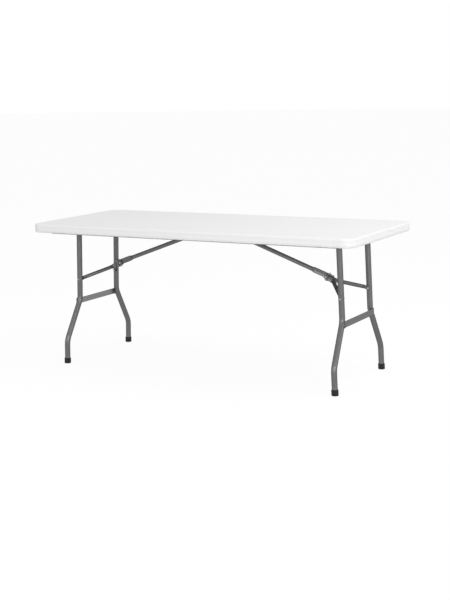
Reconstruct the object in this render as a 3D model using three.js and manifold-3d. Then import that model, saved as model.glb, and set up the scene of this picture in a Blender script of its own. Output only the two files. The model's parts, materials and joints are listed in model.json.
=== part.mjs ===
// A folding table: a blow-moulded plastic top on two steel leg frames that fold flat into it.
// Millimetres, +Z up. The origin is on the floor under the middle of the top, X along its length.
import * as THREE from 'three';
import { mergeVertices } from 'three/addons/utils/BufferGeometryUtils.js';
import Module from 'manifold-3d';

const wasm = await Module();
wasm.setup();

// Top
const topLength = 1800;
const topWidth = 740;
const tableHeight = 740;
const rimDepth = 42;
const rimWidth = 26;
const panelThickness = 17;
const cornerRadius = 62;
const upperEdgeRound = 9;
const footEdgeRound = 5;
const recessEdgeRound = 3;
const recessRootRound = 6;
const grooveWidth = 16;
const grooveDepth = 4;
const groovePitch = 104;
const groovesPerHalf = 6;
const grooveRailMargin = 34;

// Side rails, roll-formed channels screwed under the panel
const railEndGap = 69;
const railRimGap = 22;
const railHeight = 35;
const railUpperFlange = 22;
const railLowerFlange = 11;
const railSheet = 2;
const railScrewPitch = 420;

// Leg frames
const legTube = 28;
const legWall = 1.5;
const legSides = 12;
const hingeInset = 158;
const hingeDrop = 39;
const legSplay = THREE.MathUtils.degToRad(2.35);
const legSpacingTop = 330;
const legSpacingFoot = 559;
const upperBendDrop = 379;
const lowerBendHeight = 123;
const legBendRadius = 90;
const crossbarTube = 22;
const crossbarPressed = 7;
const crossbarBelowBend = 10;
const crossbarBite = 3.5;
const crossbarOverhang = 5;
const capDiameter = 34;
const capHeight = 29;
const capSole = 5;
const pivotDiameter = 16;
const pivotCollar = 2;
const pivotSpigot = 16;

// Folding stay: a strut from the middle of the top, and a forked brace to the legs
const stayWall = 1.4;
const strutTube = 21;
const strutPressed = 8;
const strutAnchorX = 67;
const strutAnchorDrop = 39;
const strutPinLine = THREE.MathUtils.degToRad(20.36);
const strutAnchorFlat = 19;
const strutTaper = 22;
const strutKneeFlat = 66;
const strutTongue = 35;
const kneePinDrop = 5;
const armTube = 19;
const armPressed = 7;
const armLegPressed = 6;
const armPastRivet = 7;
const armParallel = 40;
const armSpread = THREE.MathUtils.degToRad(51);
const armTaper = 24;
const armBendRadius = 22;
const braceRivetDrop = 269.5;
const ringWire = 2.8;
const ringPastKnee = 9;
const ringSidePlay = 0.8;
const ringBottomPlay = 2.6;
const ringCorner = 6;
const ringTabLength = 13;
const ringTabWidth = 12;
const ringTabSheet = 1.6;

// Rivets, pins and screws
const pinDiameter = 6;
const pinHeadDiameter = 10.5;
const pinHead = 2.6;
const screwShank = 4;
const screwHeadDiameter = 9.5;
const screwHead = 2.4;
const screwLength = 13;

// Bracket under the middle of the panel
const bracketLength = 214;
const bracketWidth = 66;
const bracketSheet = 2.5;
const bracketEarWidth = 34;
const bracketEarRound = 14;
const bracketScrewInset = 13;

// Clearances
const seatGap = 0.3;
const pinGap = 0.3;
const slideGap = 0.4;

// Places that follow from the sizes above
const panelUnderside = tableHeight - panelThickness;
const railLength = topLength - 2 * (rimWidth + railEndGap);
const railSpacing = topWidth - 2 * (rimWidth + railRimGap + railUpperFlange);
const hingeX = topLength / 2 - hingeInset;
const hingeZ = tableHeight - hingeDrop;
const upperBendHeight = hingeZ - upperBendDrop;
const crossbarHeight = upperBendHeight - crossbarBelowBend;
const braceRivetHeight = hingeZ - braceRivetDrop;
const legDown = new THREE.Vector3(Math.sin(legSplay), 0, -Math.cos(legSplay));
const legOut = new THREE.Vector3(Math.cos(legSplay), 0, Math.sin(legSplay));
const Y = new THREE.Vector3(0, 1, 0);
const railInnerFace = railSpacing / 2;

// A point on a leg frame's plane: how high it is, and how far along Y.
function onFrame(height, y) {
  const run = (hingeZ - height) / Math.cos(legSplay);
  return new THREE.Vector3(hingeX, y, hingeZ).addScaledVector(legDown, run);
}

// The knee: where the stay folds. With the leg swung level its rivet lies at foldedRivetX, and
// strut and brace lie back along one line, so strut - brace = foldedSpan between their pins. The
// strut's length follows from that, from its slope with the leg down, and from where the rivet is.
const anchor = new THREE.Vector3(strutAnchorX, 0, tableHeight - strutAnchorDrop);
const braceRivet = onFrame(braceRivetHeight, 0);
const foldedRivetX = hingeX - (hingeZ - braceRivetHeight) / Math.cos(legSplay);
const foldedSpan = Math.hypot(foldedRivetX - anchor.x, hingeZ - anchor.z);
const pinLine = new THREE.Vector3(Math.cos(strutPinLine), 0, -Math.sin(strutPinLine));
const toRivet = braceRivet.clone().sub(anchor);
const strutLength = (toRivet.lengthSq() - foldedSpan ** 2) / (2 * (toRivet.dot(pinLine) - foldedSpan));
const knee = anchor.clone().addScaledVector(pinLine, strutLength);
const braceLength = knee.distanceTo(braceRivet);
const braceAlong = braceRivet.clone().sub(knee).normalize();

// The strut's middle line starts at its anchor pin, and passes the knee pin at kneePinDrop.
const strutAlong = pinLine.clone().applyAxisAngle(Y, -Math.asin(kneePinDrop / strutLength));
const strutNormal = new THREE.Vector3().crossVectors(strutAlong, Y);

// The parts stacked across the knee, from the middle outwards along Y
const armCentreAtKnee = strutPressed / 2 + slideGap + armPressed / 2;
const stackHalf = armCentreAtKnee + armPressed / 2;
const armCentreAtLeg = (legSpacingTop - legTube - armLegPressed) / 2 - seatGap;

// Finishes
const whitePlastic = () => new THREE.MeshStandardMaterial({ color: 0xf1f0ee, roughness: 0.6 });
const greyPaint = () => new THREE.MeshStandardMaterial({ color: 0x707274, roughness: 0.4, metalness: 0.3 });
const blackPlastic = () => new THREE.MeshStandardMaterial({ color: 0x1d1d1f, roughness: 0.55 });
const zinc = () => new THREE.MeshStandardMaterial({ color: 0xc4c6c8, roughness: 0.3, metalness: 1 });

// ---- Solids ----

function toSolid(geometry) {
  const plain = geometry.clone();
  plain.deleteAttribute('normal');
  plain.deleteAttribute('uv');
  const merged = mergeVertices(plain, 1e-5);
  const index = merged.index ? merged.index.array : merged.attributes.position.array.map((_, i) => i);
  return new wasm.Manifold(new wasm.Mesh({
    numProp: 3,
    vertProperties: new Float32Array(merged.attributes.position.array),
    triVerts: new Uint32Array(index),
  }));
}

function toGeometry(solid) {
  const mesh = solid.simplify(0.02).getMesh();
  const geometry = new THREE.BufferGeometry();
  geometry.setAttribute('position', new THREE.BufferAttribute(new Float32Array(mesh.vertProperties), 3));
  geometry.setIndex(new THREE.BufferAttribute(new Uint32Array(mesh.triVerts), 1));
  geometry.computeVertexNormals();
  return geometry;
}

const cut = (body, tools) => toGeometry(tools.reduce((s, tool) => s.subtract(toSolid(tool)), toSolid(body)));
const join = (bodies) => toGeometry(bodies.map(toSolid).reduce((a, b) => a.add(b)));

// A round bar from one point to another.
function rod(from, to, diameter, sides = 16) {
  const run = to.clone().sub(from);
  const geometry = new THREE.CylinderGeometry(diameter / 2, diameter / 2, run.length(), sides);
  const turn = new THREE.Quaternion().setFromUnitVectors(Y, run.normalize());
  const middle = from.clone().add(to).multiplyScalar(0.5);
  return geometry.applyQuaternion(turn).translate(middle.x, middle.y, middle.z);
}

// A turned piece: a profile of [radius, distance] pairs, standing on a point along a direction.
function turned(profile, at, along, sides = 10) {
  const points = profile.map(([radius, distance]) => new THREE.Vector2(radius, distance));
  const turn = new THREE.Quaternion().setFromUnitVectors(Y, along);
  return new THREE.LatheGeometry(points, sides).applyQuaternion(turn).translate(at.x, at.y, at.z);
}

function box(from, to) {
  const size = to.clone().sub(from);
  const middle = from.clone().add(to).multiplyScalar(0.5);
  return new THREE.BoxGeometry(size.x, size.y, size.z).translate(middle.x, middle.y, middle.z);
}

// A rectangle with round corners, about the origin.
function roundedRectangle(length, width, radius) {
  const x = length / 2 - radius;
  const y = width / 2 - radius;
  const shape = new THREE.Shape();
  shape.absarc(x, y, radius, 0, Math.PI / 2);
  shape.absarc(-x, y, radius, Math.PI / 2, Math.PI);
  shape.absarc(-x, -y, radius, Math.PI, Math.PI * 1.5);
  shape.absarc(x, -y, radius, Math.PI * 1.5, Math.PI * 2);
  return shape;
}

// The height of a round tube after it is pressed to a thickness: its girth stays the same.
const pressedHeight = (diameter, thick) => thick + Math.PI * (diameter - thick) / 2;

// Stations along straight runs that round bends join. Each corner is { at, thick, tall }, and a
// corner that lies on a straight run only marks where the section changes.
function stationsAlong(corners, bendRadius, bendSteps = 3) {
  const stations = [];
  const add = (at, along) => {
    const last = stations[stations.length - 1];
    const length = last ? last.length + last.at.distanceTo(at) : 0;
    stations.push({ at: at.clone(), along: along.clone(), length });
  };
  const runs = corners.slice(1).map((corner, i) => corner.at.clone().sub(corners[i].at).normalize());
  const marks = [{ ...corners[0], length: 0 }];
  add(corners[0].at, runs[0]);
  for (let i = 1; i < runs.length; i += 1) {
    const before = runs[i - 1];
    const after = runs[i];
    const angle = before.angleTo(after);
    if (angle < 1e-4) {
      add(corners[i].at, after);
      marks.push({ ...corners[i], length: stations[stations.length - 1].length });
      continue;
    }
    const inward = after.clone().addScaledVector(before, -after.dot(before)).normalize();
    const start = corners[i].at.clone().addScaledVector(before, -bendRadius * Math.tan(angle / 2));
    const centre = start.clone().addScaledVector(inward, bendRadius);
    for (let step = 0; step <= bendSteps; step += 1) {
      const turn = angle * step / bendSteps;
      const along = before.clone().multiplyScalar(Math.cos(turn)).addScaledVector(inward, Math.sin(turn));
      const outward = before.clone().multiplyScalar(Math.sin(turn)).addScaledVector(inward, -Math.cos(turn));
      add(centre.clone().addScaledVector(outward, bendRadius), along);
      if (step === Math.floor(bendSteps / 2)) {
        marks.push({ ...corners[i], length: stations[stations.length - 1].length });
      }
    }
  }
  add(corners[corners.length - 1].at, runs[runs.length - 1]);
  marks.push({ ...corners[corners.length - 1], length: stations[stations.length - 1].length });
  for (const station of stations) {
    const next = marks.findIndex((mark) => mark.length >= station.length - 1e-9);
    const high = marks[Math.max(next, 1)];
    const low = marks[Math.max(next, 1) - 1];
    const share = (station.length - low.length) / (high.length - low.length);
    station.thick = THREE.MathUtils.lerp(low.thick, high.thick, share);
    station.tall = THREE.MathUtils.lerp(low.tall, high.tall, share);
  }
  return stations;
}

// A tube along its stations, pressed flatter where a station says so: it is thick across the
// bending plane's normal, and tall along it. Both ends are open.
function pressedTube(stations, planeNormal, wall, sides = 10) {
  const positions = [];
  const ring = (station, inset) => {
    const side = new THREE.Vector3().crossVectors(planeNormal, station.along).normalize();
    const up = new THREE.Vector3().crossVectors(station.along, side);
    const half = (station.tall - station.thick) / 2;
    const radius = station.thick / 2 - inset;
    for (let i = 0; i < sides; i += 1) {
      const angle = 2 * Math.PI * (i + 0.5) / sides;
      const rise = Math.sin(angle);
      const point = station.at.clone()
        .addScaledVector(side, radius * Math.cos(angle))
        .addScaledVector(up, radius * rise + Math.sign(rise) * half);
      positions.push(point.x, point.y, point.z);
    }
  };
  stations.forEach((station) => ring(station, 0));
  stations.forEach((station) => ring(station, wall));
  const indices = [];
  const quad = (a, b, c, d) => indices.push(a, b, c, a, c, d);
  const count = stations.length;
  for (let i = 0; i < sides; i += 1) {
    const j = (i + 1) % sides;
    for (let s = 0; s < count - 1; s += 1) {
      const outer = s * sides;
      const inner = (count + s) * sides;
      quad(outer + i, outer + j, outer + sides + j, outer + sides + i);
      quad(inner + i, inner + sides + i, inner + sides + j, inner + j);
    }
    const lastOuter = (count - 1) * sides;
    const lastInner = (2 * count - 1) * sides;
    quad(i, count * sides + i, count * sides + j, j);
    quad(lastOuter + i, lastOuter + j, lastInner + j, lastInner + i);
  }
  const geometry = new THREE.BufferGeometry();
  geometry.setAttribute('position', new THREE.Float32BufferAttribute(positions, 3));
  geometry.setIndex(indices);
  geometry.computeVertexNormals();
  return geometry;
}

// What rounds off a flat end about its pin: everything past the pin, less a disc around it.
function endRounder(centre, outward, radius) {
  const reach = 4 * radius;
  const slab = new THREE.BoxGeometry(reach, reach, reach).translate(reach / 2, 0, 0);
  const turn = new THREE.Quaternion().setFromUnitVectors(new THREE.Vector3(1, 0, 0), outward);
  slab.applyQuaternion(turn).translate(centre.x, centre.y, centre.z);
  const ends = [-reach, reach].map((y) => centre.clone().addScaledVector(Y, y));
  return cut(slab, [rod(ends[0], ends[1], 2 * radius, 16)]);
}

// A hole along Y through a point.
function crossHole(at, diameter, reach) {
  return rod(at.clone().addScaledVector(Y, -reach), at.clone().addScaledVector(Y, reach), diameter + 2 * pinGap, 12);
}

// A rivet along Y between two outer faces, with a low domed head on each.
function rivetProfile(length) {
  const face = length / 2 + seatGap;
  const side = [[pinDiameter / 2, face], [pinHeadDiameter / 2, face], [pinHeadDiameter / 2, face + pinHead * 0.45],
    [pinHeadDiameter * 0.3, face + pinHead], [0, face + pinHead]];
  const mirrored = side.map(([radius, y]) => [radius, -y]).reverse();
  return [...mirrored, ...side];
}

// A pan-head screw: its head stands on a face, and its shank runs into it.
const screwProfile = [[0, -screwLength], [screwShank / 2, 2 - screwLength], [screwShank / 2, seatGap],
  [screwHeadDiameter / 2, seatGap], [screwHeadDiameter / 2, seatGap + screwHead / 2],
  [screwHeadDiameter / 4, seatGap + screwHead], [0, seatGap + screwHead]];

const table = new THREE.Group();

function addPiece(parent, name, geometry, material) {
  const mesh = new THREE.Mesh(geometry, material);
  mesh.name = name;
  parent.add(mesh);
}

// ---- Fixings under the panel ----

const railTop = panelUnderside - seatGap;
const railScrewY = railInnerFace + railSheet + (railUpperFlange - railSheet) / 2;
const railScrewXs = [-1.5, -0.5, 0.5, 1.5].map((step) => step * railScrewPitch);
const bracketTop = panelUnderside - seatGap;
const bracketScrewX = bracketLength / 2 - bracketScrewInset;
const bracketScrewY = bracketWidth / 2 - bracketScrewInset;

// Screw places: x, y and the face that the head stands under.
const railScrews = [-1, 1].flatMap((side) => railScrewXs.map((x, i) => ({
  name: `rail_screw_${side < 0 ? 'front' : 'rear'}_${i + 1}`,
  at: new THREE.Vector3(x, side * railScrewY, railTop - railSheet),
})));
const bracketScrews = [[-1, -1], [1, -1], [-1, 1], [1, 1]].map(([sx, sy], i) => ({
  name: `bracket_screw_${i + 1}`,
  at: new THREE.Vector3(sx * bracketScrewX, sy * bracketScrewY, bracketTop - bracketSheet),
}));

function pilotHole({ at }) {
  const end = at.clone().setZ(at.z + screwLength + pinGap);
  return rod(at, end, screwShank + 2 * pinGap, 8);
}

for (const { name, at } of [...railScrews, ...bracketScrews]) {
  addPiece(table, name, turned(screwProfile, at, new THREE.Vector3(0, 0, -1), 8), zinc());
}

// ---- Tabletop: a panel with a deep rim round it, and moulded stiffening grooves below ----

// A row of a moulding: how far in from the outline, and how high.
const row = (inset, z) => ({ inset, z });

// Rows along a quarter round, from one angle to another. Angle 0 points out, and 90 degrees up.
function quarterRound(inset, z, radius, from, to, steps = 3) {
  return Array.from({ length: steps + 1 }, (_, i) => {
    const angle = THREE.MathUtils.degToRad(from + (to - from) * i / steps);
    return row(inset - radius * Math.cos(angle), z + radius * Math.sin(angle));
  });
}

// A moulding: rows of one rounded outline, from the lowest up, closed above and below.
function moulding(rows, cornerSteps) {
  const rings = rows.map(({ inset, z }) => roundedRectangle(topLength - 2 * inset, topWidth - 2 * inset,
    cornerRadius - inset).getPoints(cornerSteps).map(({ x, y }) => [x, y, z]));
  const count = rings[0].length;
  const quad = (a, b, c, d) => [a, b, c, a, c, d];
  const sides = rings.slice(1).flatMap((_, r) => rings[0].flatMap((__, i) => {
    const next = (i + 1) % count;
    return quad(r * count + i, r * count + next, (r + 1) * count + next, (r + 1) * count + i);
  }));
  const last = (rings.length - 1) * count;
  const ends = rings[0].slice(2).flatMap((_, i) => [0, i + 2, i + 1, last, last + i + 1, last + i + 2]);
  const geometry = new THREE.BufferGeometry();
  geometry.setAttribute('position', new THREE.Float32BufferAttribute(rings.flat(2), 3));
  geometry.setIndex([...sides, ...ends]);
  return geometry;
}

const rimFoot = tableHeight - rimDepth;

function topShell() {
  return moulding([...quarterRound(footEdgeRound, rimFoot + footEdgeRound, footEdgeRound, -90, 0),
    ...quarterRound(upperEdgeRound, tableHeight - upperEdgeRound, upperEdgeRound, 0, 90, 4)], 5);
}

// The hollow inside the rim. It flares at its mouth over the rim's inner edge.
function topRecess() {
  const mouth = rimWidth - recessEdgeRound;
  return moulding([row(mouth, rimFoot - recessEdgeRound),
    ...quarterRound(mouth, rimFoot + recessEdgeRound, recessEdgeRound, -90, -180, 2),
    ...quarterRound(rimWidth + recessRootRound, panelUnderside - recessRootRound, recessRootRound, 0, 90, 2)], 4);
}

function stiffeningGrooves() {
  const length = railSpacing - 2 * grooveRailMargin;
  const slot = roundedRectangle(grooveWidth, length, grooveWidth / 2 - 0.01);
  const halves = [-1, 1].flatMap((side) => Array.from({ length: groovesPerHalf }, (_, i) => (
    side * (bracketLength / 2 + groovePitch * (i + 0.5)))));
  return halves.map((x) => new THREE.ExtrudeGeometry(slot, { depth: grooveDepth + 1, curveSegments: 2,
    bevelEnabled: false }).translate(x, 0, panelUnderside - 1));
}

addPiece(table, 'tabletop', cut(topShell(), [topRecess(), ...stiffeningGrooves(),
  ...[...railScrews, ...bracketScrews].map(pilotHole)]), whitePlastic());

// ---- Side rails ----

// A channel that opens outwards: a web on the inner side, a wide flange above, a narrow one below.
function railProfile() {
  const t = railSheet;
  const outline = [[0, 0], [railLowerFlange, 0], [railLowerFlange, t], [t, t], [t, railHeight - t],
    [railUpperFlange, railHeight - t], [railUpperFlange, railHeight], [0, railHeight]];
  return new THREE.Shape(outline.map(([y, z]) => new THREE.Vector2(y, z)));
}

function rail(side) {
  const along = new THREE.ExtrudeGeometry(railProfile(), { depth: railLength, bevelEnabled: false });
  along.rotateX(Math.PI / 2).rotateZ(Math.PI / 2);
  along.translate(-railLength / 2, railInnerFace, railTop - railHeight);
  if (side < 0) along.rotateZ(Math.PI);
  const holes = [-hingeX, hingeX].map((x) => crossHole(new THREE.Vector3(x, side * railInnerFace, hingeZ),
    pivotDiameter, railSheet * 2));
  const screwHoles = railScrews.filter(({ at }) => Math.sign(at.y) === side).map(({ at }) => (
    rod(at.clone().setZ(at.z - 1), at.clone().setZ(at.z + railSheet + 1), screwShank + 2 * pinGap, 8)));
  return cut(along, [...holes, ...screwHoles]);
}

addPiece(table, 'side_rail_front', rail(-1), greyPaint());
addPiece(table, 'side_rail_rear', rail(1), greyPaint());

// ---- Middle bracket: a plate with two pairs of ears, one pair for each strut ----

const earInner = strutPressed / 2 + 2 * slideGap;

function bracketEar(x, side) {
  const top = bracketTop - bracketSheet / 2 - anchor.z;
  const shape = new THREE.Shape();
  shape.moveTo(bracketEarWidth / 2, top);
  shape.lineTo(-bracketEarWidth / 2, top);
  shape.lineTo(-bracketEarRound, 0);
  shape.absarc(0, 0, bracketEarRound, Math.PI, Math.PI * 2);
  const ear = new THREE.ExtrudeGeometry(shape, { depth: bracketSheet, curveSegments: 4, bevelEnabled: false });
  ear.rotateX(Math.PI / 2).translate(x, bracketSheet, anchor.z);
  return ear.translate(0, side > 0 ? earInner : -earInner - bracketSheet, 0);
}

function middleBracket() {
  const plate = new THREE.ExtrudeGeometry(roundedRectangle(bracketLength, bracketWidth, 10),
    { depth: bracketSheet, curveSegments: 3, bevelEnabled: false }).translate(0, 0, bracketTop - bracketSheet);
  const ears = [-anchor.x, anchor.x].flatMap((x) => [-1, 1].map((side) => bracketEar(x, side)));
  const pinHoles = [-anchor.x, anchor.x].map((x) => crossHole(anchor.clone().setX(x), pinDiameter, bracketWidth));
  const screwHoles = bracketScrews.map(({ at }) => (
    rod(at.clone().setZ(at.z - 1), at.clone().setZ(at.z + bracketSheet + 1), screwShank + 2 * pinGap, 8)));
  return cut(join([plate, ...ears]), [...pinHoles, ...screwHoles]);
}

addPiece(table, 'middle_bracket', middleBracket(), greyPaint());

// ---- One end of the table, built at +X. The other end is the same, turned half a turn. ----

function legStations(side) {
  const foot = onFrame(capSole + seatGap, side * legSpacingFoot / 2);
  const corners = [onFrame(hingeZ, side * legSpacingTop / 2), onFrame(upperBendHeight, side * legSpacingTop / 2),
    onFrame(lowerBendHeight, side * legSpacingFoot / 2), foot];
  return stationsAlong(corners.map((at) => ({ at, thick: legTube, tall: legTube })), legBendRadius, 2);
}

function leg(side) {
  const tube = pressedTube(legStations(side), legOut, legWall, legSides);
  const hingeCut = rod(new THREE.Vector3(hingeX, -railInnerFace, hingeZ),
    new THREE.Vector3(hingeX, railInnerFace, hingeZ), legTube + 2 * seatGap, 20);
  const rivetAt = braceRivet.clone().setY(side * legSpacingTop / 2);
  return cut(tube, [hingeCut, crossHole(rivetAt, pinDiameter, legTube)]);
}

const hingeTubeHalf = railInnerFace - pivotCollar - 2 * seatGap;

function hingeTube() {
  const corners = [-hingeTubeHalf, hingeTubeHalf].map((y) => ({ at: new THREE.Vector3(hingeX, y, hingeZ),
    thick: legTube, tall: legTube }));
  return pressedTube(stationsAlong(corners, legBendRadius), legOut, legWall, 20);
}

// The pivot plug: a spigot inside the hinge tube, a collar, and a pin through the rail's web.
function pivotPlug(side) {
  const spigot = legTube / 2 - legWall - pinGap;
  const web = pivotCollar + 2 * seatGap + railSheet;
  const pin = pivotDiameter / 2;
  const profile = [[0, -pivotSpigot], [spigot - 1, -pivotSpigot], [spigot, 1 - pivotSpigot], [spigot, 0],
    [legTube / 2, 0], [legTube / 2, pivotCollar], [pin, pivotCollar], [pin, web], [pin + 1.6, web],
    [pin + 1.6, web + 2], [pin - 1, web + 5], [0, web + 5]];
  const at = new THREE.Vector3(hingeX, side * (hingeTubeHalf + seatGap), hingeZ);
  return turned(profile, at, new THREE.Vector3(0, side, 0), 12);
}

// The crossbar: a tube pressed flat and coped over the outer faces of both legs.
function crossbar() {
  const out = legTube / 2 - crossbarBite + crossbarPressed / 2;
  const half = legSpacingTop / 2 + crossbarOverhang;
  const corners = [-half, half].map((y) => ({ at: onFrame(crossbarHeight, y).addScaledVector(legOut, out),
    thick: crossbarPressed, tall: pressedHeight(crossbarTube, crossbarPressed) }));
  const bar = pressedTube(stationsAlong(corners, legBendRadius), legDown, legWall);
  const coped = legTube + 2 * seatGap;
  const copes = [-1, 1].map((side) => pressedTube(legStations(side).map((station) => (
    { ...station, thick: coped, tall: coped })), legOut, legTube / 2, legSides));
  return cut(bar, copes);
}

// The foot cap: a cup along the leg, with a sole trimmed level on the floor.
function footCap(side) {
  const bore = legTube / 2 + seatGap;
  const rim = capDiameter / 2;
  const profile = [[0, -4], [rim, -4], [rim, capHeight - 6], [rim - 1, capHeight - 1], [rim - 1.6, capHeight],
    [bore, capHeight], [bore, capSole], [0, capSole]];
  const sole = onFrame(0, side * legSpacingFoot / 2);
  const cup = turned(profile, sole, legDown.clone().negate(), 16);
  const below = box(sole.clone().addScalar(-capDiameter), sole.clone().addScalar(capDiameter).setZ(0));
  return cut(cup, [below]);
}

// The rivet that carries a brace arm: this half holds in the leg, head outside.
function legRivet(side) {
  const face = legTube / 2;
  const profile = [[0, -face], [pinDiameter / 2, -face], [pinDiameter / 2, face + seatGap],
    [pinHeadDiameter / 2, face + seatGap], [pinHeadDiameter / 2, face + seatGap + pinHead * 0.45],
    [pinHeadDiameter * 0.3, face + seatGap + pinHead], [0, face + seatGap + pinHead]];
  return turned(profile, braceRivet.clone().setY(side * legSpacingTop / 2), new THREE.Vector3(0, side, 0));
}

// This half holds in the arm, head inside. It ends flush with the arm's outer face.
function armRivet(side) {
  const face = armLegPressed / 2;
  const profile = [[0, -face], [pinDiameter / 2, -face], [pinDiameter / 2, face + seatGap],
    [pinHeadDiameter / 2, face + seatGap], [pinHeadDiameter / 2, face + seatGap + pinHead * 0.45],
    [pinHeadDiameter * 0.3, face + seatGap + pinHead], [0, face + seatGap + pinHead]];
  return turned(profile, braceRivet.clone().setY(side * armCentreAtLeg), new THREE.Vector3(0, -side, 0));
}

const strutFlatHeight = pressedHeight(strutTube, strutPressed);
const armFlatHeight = pressedHeight(armTube, armPressed);
const onStrut = (distance) => anchor.clone().addScaledVector(strutAlong, distance);

// The strut: pressed flat at the bracket, and flat again from before the knee to its tongue.
function strut() {
  const round = { thick: strutTube, tall: strutTube };
  const flat = { thick: strutPressed, tall: strutFlatHeight };
  const flatStart = strutLength - strutKneeFlat;
  const corners = [{ at: onStrut(-strutFlatHeight / 2 - 1), ...flat }, { at: onStrut(strutAnchorFlat), ...flat },
    { at: onStrut(strutAnchorFlat + strutTaper), ...round }, { at: onStrut(flatStart - strutTaper), ...round },
    { at: onStrut(flatStart), ...flat }, { at: onStrut(strutLength + strutTongue), ...flat }];
  const tube = pressedTube(stationsAlong(corners, armBendRadius), strutNormal, stayWall);
  return cut(tube, [endRounder(anchor, strutAlong.clone().negate(), strutFlatHeight / 2),
    crossHole(anchor, pinDiameter, strutTube), crossHole(knee, pinDiameter, strutTube)]);
}

// A brace arm: beside the strut's tongue at the knee, spreading to the inner face of its leg. The
// die that presses its leg end keeps the tube's own height.
function braceArm(side) {
  const round = { thick: armTube, tall: armTube };
  const flat = { thick: armPressed, tall: armFlatHeight };
  const legFlat = { thick: armLegPressed, tall: armTube };
  const inPlane = (distance, y) => knee.clone().addScaledVector(braceAlong, distance).setY(side * y);
  const slant = (armCentreAtLeg - armCentreAtKnee) / Math.sin(armSpread);
  const onSlant = (run) => inPlane(armParallel + run * Math.cos(armSpread),
    armCentreAtKnee + run * Math.sin(armSpread));
  const corners = [
    { at: inPlane(-armFlatHeight / 2 - 1, armCentreAtKnee), ...flat },
    { at: onSlant(0), ...flat },
    { at: onSlant(armTaper), ...round },
    { at: onSlant(slant - armTaper), ...round },
    { at: onSlant(slant), ...legFlat },
    { at: inPlane(braceLength + armTube / 2 + 1, armCentreAtLeg), ...legFlat },
  ];
  const plane = new THREE.Vector3().crossVectors(braceAlong, Y);
  const tube = pressedTube(stationsAlong(corners, armBendRadius), plane, stayWall);
  const rivetAt = braceRivet.clone().setY(side * armCentreAtLeg);
  const kneeAt = knee.clone().setY(side * armCentreAtKnee);
  const noseAt = rivetAt.clone().addScaledVector(braceAlong, armPastRivet - armTube / 2);
  return cut(tube, [endRounder(kneeAt, braceAlong.clone().negate(), armFlatHeight / 2),
    endRounder(noseAt, braceAlong, armTube / 2), crossHole(kneeAt, pinDiameter, armPressed),
    crossHole(rivetAt, pinDiameter, armLegPressed)]);
}

// The lock ring: a wire loop that keeps the strut's tongue between the arms, with a finger tab.
function lockRing() {
  const innerHalf = stackHalf + seatGap + pinHead + ringSidePlay;
  const top = strutFlatHeight / 2 + slideGap;
  const bottom = -kneePinDrop - armFlatHeight / 2 - ringBottomPlay;
  const bevel = ringWire / 4;
  const height = top - bottom;
  const loop = roundedRectangle(2 * (innerHalf + ringWire - bevel), height + 2 * (ringWire - bevel),
    ringCorner + ringWire - bevel);
  loop.holes.push(new THREE.Path(roundedRectangle(2 * (innerHalf + bevel), height + 2 * bevel, ringCorner + bevel)
    .getPoints(2)));
  const ring = new THREE.ExtrudeGeometry(loop, { depth: ringWire - 2 * bevel, curveSegments: 2,
    bevelEnabled: true, bevelSize: bevel, bevelThickness: bevel, bevelSegments: 1 });
  ring.translate(0, (top + bottom) / 2, bevel - ringWire / 2);
  const tab = new THREE.BoxGeometry(ringTabWidth, ringTabSheet, ringTabLength)
    .translate(0, bottom - ringWire / 2, -ringTabLength / 2);
  const basis = new THREE.Matrix4().makeBasis(Y, strutNormal, strutAlong);
  const place = onStrut(strutLength + ringPastKnee);
  return join([ring, tab]).applyMatrix4(basis).translate(place.x, place.y, place.z);
}

for (const end of ['right', 'left']) {
  const turn = end === 'right' ? 1 : -1;
  const group = new THREE.Group();
  group.rotation.z = turn > 0 ? 0 : Math.PI;
  table.add(group);
  const rowOf = (side) => `${side * turn < 0 ? 'front' : 'rear'}_${end}`;
  addPiece(group, `hinge_tube_${end}`, hingeTube(), greyPaint());
  addPiece(group, `crossbar_${end}`, crossbar(), greyPaint());
  addPiece(group, `strut_${end}`, strut(), greyPaint());
  addPiece(group, `strut_pin_${end}`, turned(rivetProfile(2 * (earInner + bracketSheet)), anchor, Y), zinc());
  addPiece(group, `knee_pin_${end}`, turned(rivetProfile(2 * stackHalf), knee, Y), zinc());
  addPiece(group, `lock_ring_${end}`, lockRing(), zinc());
  for (const side of [-1, 1]) {
    addPiece(group, `leg_${rowOf(side)}`, leg(side), greyPaint());
    addPiece(group, `foot_cap_${rowOf(side)}`, footCap(side), blackPlastic());
    addPiece(group, `pivot_plug_${rowOf(side)}`, pivotPlug(side), blackPlastic());
    addPiece(group, `leg_rivet_${rowOf(side)}`, legRivet(side), zinc());
    addPiece(group, `brace_arm_${rowOf(side)}`, braceArm(side), greyPaint());
    addPiece(group, `arm_rivet_${rowOf(side)}`, armRivet(side), zinc());
  }
}

export default table;
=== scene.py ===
import json
from math import asin, copysign, cos, pi, radians, sin, sqrt, tan, tau

import bmesh
import bpy
from mathutils import Matrix, Vector


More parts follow.
